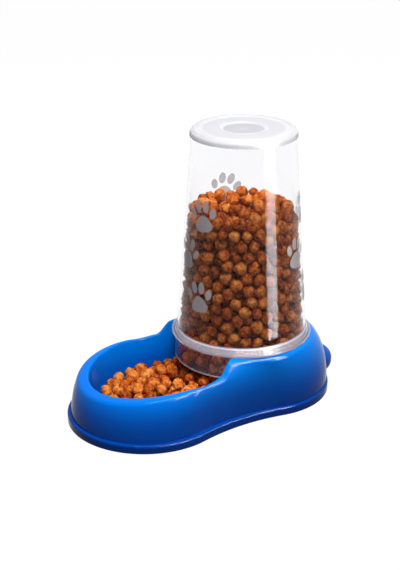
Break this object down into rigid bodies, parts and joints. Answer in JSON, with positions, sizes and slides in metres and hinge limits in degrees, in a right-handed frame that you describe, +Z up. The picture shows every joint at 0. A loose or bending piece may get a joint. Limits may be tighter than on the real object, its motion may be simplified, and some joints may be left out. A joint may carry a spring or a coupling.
{
  "type": "gravity pet feeder",
  "caption": "Moulded blue pet bowl with a tapered clear hopper standing in a well behind it; dry food slides down into the bowl as it is eaten. Press-on milky lid and rubber feet.",
  "frame": {"origin": "middle of the bounding box on the floor, under the feet", "axes": "+Z up; the bowl faces -Y and the hopper stands behind it; +X is to the right of someone who faces the bowl"},
  "size_m": [0.1784, 0.3404, 0.3175],
  "materials": {
    "blue_plastic": "polished injection-moulded blue polypropylene",
    "clear_plastic": "clear, glossy, see-through",
    "milky_plastic": "soft milky polyethylene, half see-through",
    "dry_food": "rough, dry, baked",
    "grey_rubber": "matt"
  },
  "bodies": {
    "base": {"base": "blue_plastic", "kibble_in_bowl": "dry_food", "foot_rear_left": "grey_rubber", "foot_rear_right": "grey_rubber", "foot_front_left": "grey_rubber", "foot_front_right": "grey_rubber"},
    "hopper": {"hopper": "clear_plastic", "kibble_in_hopper": "dry_food"},
    "lid": {"lid": "milky_plastic"}
  },
  "joints": [
    {"name": "hopper_lift", "type": "slide", "parent": "base", "child": "hopper", "axis": [0, 0, 1], "range_m": [0, 0.05]},
    {"name": "lid_lift", "type": "slide", "parent": "hopper", "child": "lid", "axis": [0, 0, 1], "range_m": [0, 0.04]}
  ]
}
